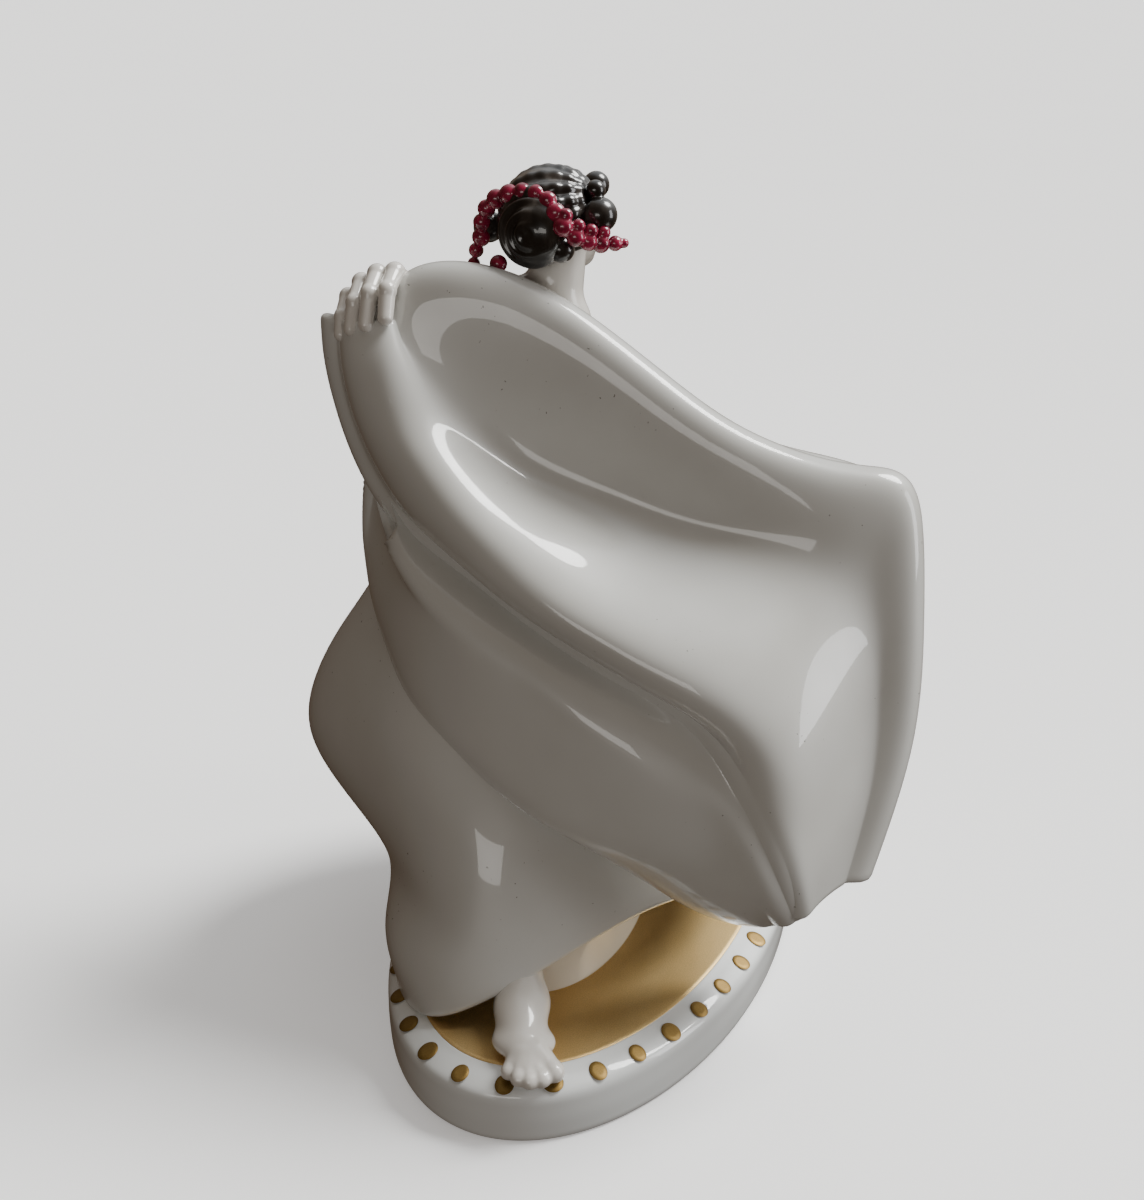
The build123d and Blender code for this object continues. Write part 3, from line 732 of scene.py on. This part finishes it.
def make_feet(kit):
    right = Clay((-18, -104, 15), (26, -56, 44), 0.35)
    add_foot(right, (-2.5, -69.5, 22), (-2, -69, 28.5), (5.3, -88, 20.9), RIGHT_TOES, (-3, -60, 37), 0.15)
    right.keep(right.half_space((0, 0, 16.9), (0, 0, -1)), 0.5)
    make_piece("right_foot_toes", *right.skin(), kit["skin"], "skin_glaze", ["right_foot"])
    left = Clay((0, 22, 15), (40, 68, 44), 0.4)
    add_foot(left, (11, 34, 21.5), (12, 37, 27), (21, 51, 20.5), LEFT_TOES, (10, 31, 42), -0.5)
    left.keep(left.half_space((0, 0, 17.1), (0, 0, -1)), 0.5)
    make_piece("left_foot_toes", *left.skin(), kit["skin"], "skin_glaze", ["left_foot"])


# ---- head ----
FORWARD = np.array([-math.sin(FACE_TURN), math.cos(FACE_TURN), 0])
RIGHTWARD = np.array([math.cos(FACE_TURN), math.sin(FACE_TURN), 0])


def on_head(right, forward, up):
    """A point given in the head's own directions."""
    return HEAD_AT + RIGHTWARD * right + FORWARD * forward + np.array([0, 0, up])


def make_head(kit):
    clay = Clay((-30, -18, 184), (6, 18, 218), 0.3)
    clay.add(clay.ball(on_head(0, -0.8, 3.0), (9.3, 11.0, 10.0), FACE_TURN), 2)
    clay.add(clay.ball(on_head(0, 3.5, -4.2), (7.6, 7.6, 8.4), FACE_TURN), 4)
    clay.add(clay.ball(on_head(0, 8.0, -9.6), (3.0, 2.6, 2.4), FACE_TURN), 3)
    clay.add(clay.bone(on_head(0, 9.9, 1.6), on_head(0, 12.0, -2.6), 0.9, 1.25), 1.6)
    for side in (-1, 1):
        clay.cut(clay.ball(on_head(3.6 * side, 11.0, 1.6), (2.3, 1.6, 1.3), FACE_TURN), 1.4)
        clay.add(clay.ball(on_head(3.6 * side, 9.0, 1.0), (1.9, 1.2, 1.25), FACE_TURN), 0.5)
        clay.add(clay.ball(on_head(1.1 * side, 11.3, -3.0), (0.85, 1.0, 0.75), FACE_TURN), 0.6)
        clay.add(clay.ball(on_head(4.8 * side, 7.6, -3.4), (2.6, 2.4, 2.4), FACE_TURN), 3)
    make_piece("head_face", *clay.skin(), kit["skin"], "skin_glaze", ["head"])
    lips = Clay(on_head(0, 10, -6) - 5, on_head(0, 10, -6) + 5, 0.15)
    lips.add(lips.ball(on_head(0.9, 10.25, -5.6), (1.5, 0.9, 0.55), FACE_TURN), 0.3)
    lips.add(lips.ball(on_head(-0.9, 10.25, -5.6), (1.5, 0.9, 0.55), FACE_TURN), 0.3)
    lips.add(lips.ball(on_head(0, 10.2, -6.6), (1.8, 0.9, 0.62), FACE_TURN), 0.15)
    make_piece("lips", *lips.skin(), kit["paint"], "skin_glaze", ["head"])
    for side, name in ((-1, "left"), (1, "right")):
        brow = [(1.7, 10.4, 4.6), (3.6, 10.0, 5.3), (5.8, 8.6, 4.7)]
        lid = [(1.9, 9.9, 1.1), (3.6, 10.15, 1.9), (5.4, 9.3, 1.1)]
        stroke(name + "_brow", [on_head(side * x, y, z) for x, y, z in brow], 0.26, kit)
        stroke(name + "_lid", [on_head(side * x, y, z) for x, y, z in lid], 0.2, kit)


def stroke(name, points, width, kit):
    """A painted line: a thin tapered tube along a curve on the glaze."""
    path = curve(points, 24)
    rings = []
    for k, place in enumerate(path):
        radius = width * (0.35 + 0.65 * math.sin(math.pi * (k + 0.5) / len(path)))
        angles = np.linspace(0, 2 * math.pi, 10, endpoint=False)
        ring = [place + radius * (math.cos(a) * FORWARD + math.sin(a) * UP) for a in angles]
        rings.append(ring)
    verts, faces = tube_mesh(np.array(rings))
    make_piece(name, verts, faces, kit["line"], "hair_glaze", ["head"])


# Each curl with its radius.
CURLS = [
    ((-30.5, -4.5, 200.0), 3.9),
    ((-2.6, -5.0, 210.2), 2.5),
    ((-1.0, -6.5, 204.6), 4.3),
    ((-8.6, -13.5, 197.2), 3.3),
    ((-6.5, 8.6, 209.5), 3.4),
    ((-20.0, 8.3, 209.5), 3.4),
]
# The string of beads, from the left curl over the bun to the curls on the right.
GARLAND = [
    (-31.3, -8, 198), (-30.5, -9, 202.6), (-27.5, -10, 207), (-22.6, -11, 209.2), (-17.7, -12, 210),
    (-13, -13.5, 209.3), (-9.6, -15.5, 206.6), (-7.2, -17, 203.4), (-4.4, -16, 200.8), (-1.8, -13, 199.2),
    (0.3, -10, 198.4),
]
# Loose beads near the garland's ends, each with its radius.
DROPS = [
    ((-32.9, -7.5, 194.6), 1.9),
    ((-33.8, -7, 191.2), 1.6),
    ((-25, -13, 192.7), 2.2),
    ((3.2, -7.5, 198.2), 1.9),
    ((5.2, -6.5, 198.2), 1.2),
]


def hair_path(angle, count=11):
    """A lock from high on the right of the head to low on the left. At 0 degrees it goes over the
    crown, and angle turns it from there towards the back of the head."""
    start = unit(np.array([0.82, -0.25, 0.52]))
    end = unit(np.array([-0.93, -0.30, -0.22]))
    axis = unit(start - end)
    up = unit(np.array([0.1, 0.0, 1.0]) - axis * axis[2])
    out = np.cross(axis, up)
    turn = math.radians(angle)
    side = up * math.cos(turn) + out * math.sin(turn)
    path = []
    for k in range(count):
        t = 0.25 + (math.pi - 0.5) * k / (count - 1)
        way = axis * math.cos(t) + side * math.sin(t)
        path.append(HAIR_AT + way * np.array([11.9, 12.1, 10.0]))
    return path


def make_hair(kit):
    low, high = HEAD_AT + (-26, -24, -16), HEAD_AT + (22, 20, 16)
    clay = Clay(low, high, 0.3)
    clay.add(clay.ball(HAIR_AT, (12.3, 12.6, 11.5), FACE_TURN), 1)
    clay.cut(clay.ball(on_head(0, 8.5, -3.0), (8.2, 9.5, 9.6), FACE_TURN), 2)
    for angle in range(-75, 101, 25):
        path = hair_path(angle)
        for k in range(len(path) - 1):
            thick = 1.0 + 0.75 * math.sin(math.pi * (k + 0.5) / len(path))
            clay.add(clay.bone(path[k], path[k + 1], thick, thick), 0.9)
    clay.cut(clay.ball(on_head(0, 10.5, -3.5), (6.6, 6.0, 8.6), FACE_TURN), 1)
    make_piece("hair_waves", *clay.skin(), kit["hair"], "hair_glaze", ["hair_cap"])
    clay.clear()
    clay.add(clay.ball(BUN_AT, (9.3, 5.8, 8.4), FACE_TURN), 1)
    for reach, back in ((7.6, -14.6), (4.9, -16.9), (2.2, -18.0)):
        clay.add(clay.ring((BUN_AT[0], back, BUN_AT[2]), reach, 0.85), 1.2)
    make_piece("hair_bun_coil", *clay.skin(), kit["hair"], "hair_glaze", ["hair_bun"])
    clay.clear()
    for centre, radius in CURLS:
        clay.add(clay.ball(centre, (radius,) * 3), 0.6)
    clay.cut(clay.ring((-8.6, -16.9, 197.2), 1.6, 0.35), 0.4)
    make_piece("hair_side_curls", *clay.skin(), kit["hair"], "hair_glaze", ["hair_curls"])


def make_garland(kit):
    """The string of beads, doubled at its right end, and the loose beads near its ends."""
    low, high = (-39, -22, 185), (10, 4, 215)
    beads = Clay(low, high, 0.3)
    path = curve(GARLAND, 13)
    for k, place in enumerate(path):
        size = 2.35 + 0.15 * math.sin(5.0 * k)
        beads.add(beads.ball(place, (size, size * 0.9, size)), 0.4)
        if k > 8:
            beads.add(beads.ball(place + [0.6, 0.5, 2.6], (1.7, 1.6, 1.7)), 0.4)
    for k in range(len(path) - 1):
        beads.add(beads.bone(path[k], path[k + 1], 0.8, 0.8), 0.4)
    make_piece("garland_string", *beads.skin(), kit["crimson"], "crimson_glaze", ["garland_beads"])
    drops = Clay(low, high, 0.3)
    for place, size in DROPS:
        drops.add(drops.ball(place, (size, size, size)), 0.5)
    make_piece("garland_ends", *drops.skin(), kit["crimson"], "crimson_glaze", ["garland_drops"])


# ---- floor, light and camera ----
def make_floor():
    mesh = bpy.data.meshes.new("floor")
    far = 30.0
    corners = [(-far, -far, 0), (far, -far, 0), (far, far, 0), (-far, far, 0)]
    mesh.from_pydata(corners, [], [(0, 1, 2, 3)])
    floor = bpy.data.objects.new("floor", mesh)
    bpy.context.scene.collection.objects.link(floor)
    material, tree, shader = new_material("pale_floor")
    shade = ramp(tree, noise(tree, 3, 2), [(0.3, (0.95, 0.95, 0.95)), (0.7, (0.96, 0.96, 0.96))])
    tree.links.new(shade, shader.inputs["Base Color"])
    shader.inputs["Roughness"].default_value = 0.95
    tree.links.new(shade, shader.inputs["Emission Color"])
    shader.inputs["Emission Strength"].default_value = 0.3
    shader.inputs["Specular IOR Level"].default_value = 0.0
    mesh.materials.append(material)
    floor.visible_glossy = False
    floor.visible_diffuse = False


def area_light(name, place, target, size, power, colour):
    light = bpy.data.lights.new(name, "AREA")
    light.shape = "RECTANGLE"
    light.size, light.size_y = size
    light.energy = power
    light.color = colour
    lamp = bpy.data.objects.new(name, light)
    lamp.location = Vector(place)
    lamp.rotation_euler = (Vector(target) - Vector(place)).to_track_quat("-Z", "Y").to_euler()
    bpy.context.scene.collection.objects.link(lamp)
    return lamp


def make_lights():
    sun = bpy.data.lights.new("daylight", "SUN")
    sun.energy = 4.4
    sun.angle = math.radians(28)
    sun.color = (1.0, 1.0, 0.98)
    lamp = bpy.data.objects.new("daylight", sun)
    lamp.rotation_euler = Vector((0.55, 0.45, 0.9)).to_track_quat("Z", "Y").to_euler()
    bpy.context.scene.collection.objects.link(lamp)
    area_light("window", (0.05, -1.0, 0.36), (0.03, -0.02, 0.13), (0.5, 0.24), 1.0, (1.0, 0.97, 0.92))
    place, target, colour = (0.5, -0.9, 0.06), (0.01, -0.07, 0.02), (0.98, 0.99, 1.0)
    low_front = area_light("low_front", place, target, (0.4, 0.05), 0.9, colour)
    low_front.visible_glossy = False
    area_light("side_window", (0.9, 0.15, 0.3), (0, 0, 0.1), (0.3, 0.6), 3.0, (0.97, 0.98, 1.0))


def make_world():
    """A dim brown room, bright high up beyond the figure, for the glaze to reflect. The camera itself
    sees a pale grey backdrop."""
    world = bpy.data.worlds.new("studio")
    bpy.context.scene.world = world
    world.use_nodes = True
    tree = world.node_tree
    tree.nodes.clear()
    out = tree.nodes.new("ShaderNodeOutputWorld")
    place = tree.nodes.new("ShaderNodeTexCoord")
    lean = tree.nodes.new("ShaderNodeVectorMath")
    lean.operation = "DOT_PRODUCT"
    lean.inputs[1].default_value = (0.15, 0.6, 0.78)
    tree.links.new(place.outputs["Generated"], lean.inputs[0])
    height = tree.nodes.new("ShaderNodeMapRange")
    height.inputs["From Min"].default_value = -1.0
    height.inputs["From Max"].default_value = 1.0
    tree.links.new(lean.outputs["Value"], height.inputs["Value"])
    stops = [
        (0.4, (0.055, 0.036, 0.022)),
        (0.6, (0.08, 0.055, 0.035)),
        (0.8, (0.22, 0.18, 0.145)),
        (0.95, (0.85, 0.87, 0.88)),
    ]
    room = ramp(tree, height.outputs["Result"], stops)
    dim = tree.nodes.new("ShaderNodeBackground")
    dim.inputs["Strength"].default_value = 1.0
    tree.links.new(room, dim.inputs["Color"])
    seen = tree.nodes.new("ShaderNodeBackground")
    seen.inputs["Color"].default_value = (0.8, 0.8, 0.8, 1)
    path = tree.nodes.new("ShaderNodeLightPath")
    choose = tree.nodes.new("ShaderNodeMixShader")
    tree.links.new(path.outputs["Is Camera Ray"], choose.inputs["Fac"])
    tree.links.new(dim.outputs["Background"], choose.inputs[1])
    tree.links.new(seen.outputs["Background"], choose.inputs[2])
    tree.links.new(choose.outputs["Shader"], out.inputs["Surface"])


def make_camera():
    data = bpy.data.cameras.new("camera")
    data.lens = 45.0
    data.sensor_width = 36.0
    camera = bpy.data.objects.new("camera", data)
    camera.location = (0.1173, -0.3477, 0.264)
    camera.rotation_euler = (math.radians(66.5), 0, math.radians(20.0))
    bpy.context.scene.collection.objects.link(camera)
    bpy.context.scene.camera = camera


materials = make_materials()
make_plinth(materials)
make_skirt(materials)
make_cape(materials)
make_body(materials)
make_arms(materials)
make_hands(materials)
make_feet(materials)
make_head(materials)
make_hair(materials)
make_garland(materials)
make_floor()
make_lights()
make_world()
make_camera()
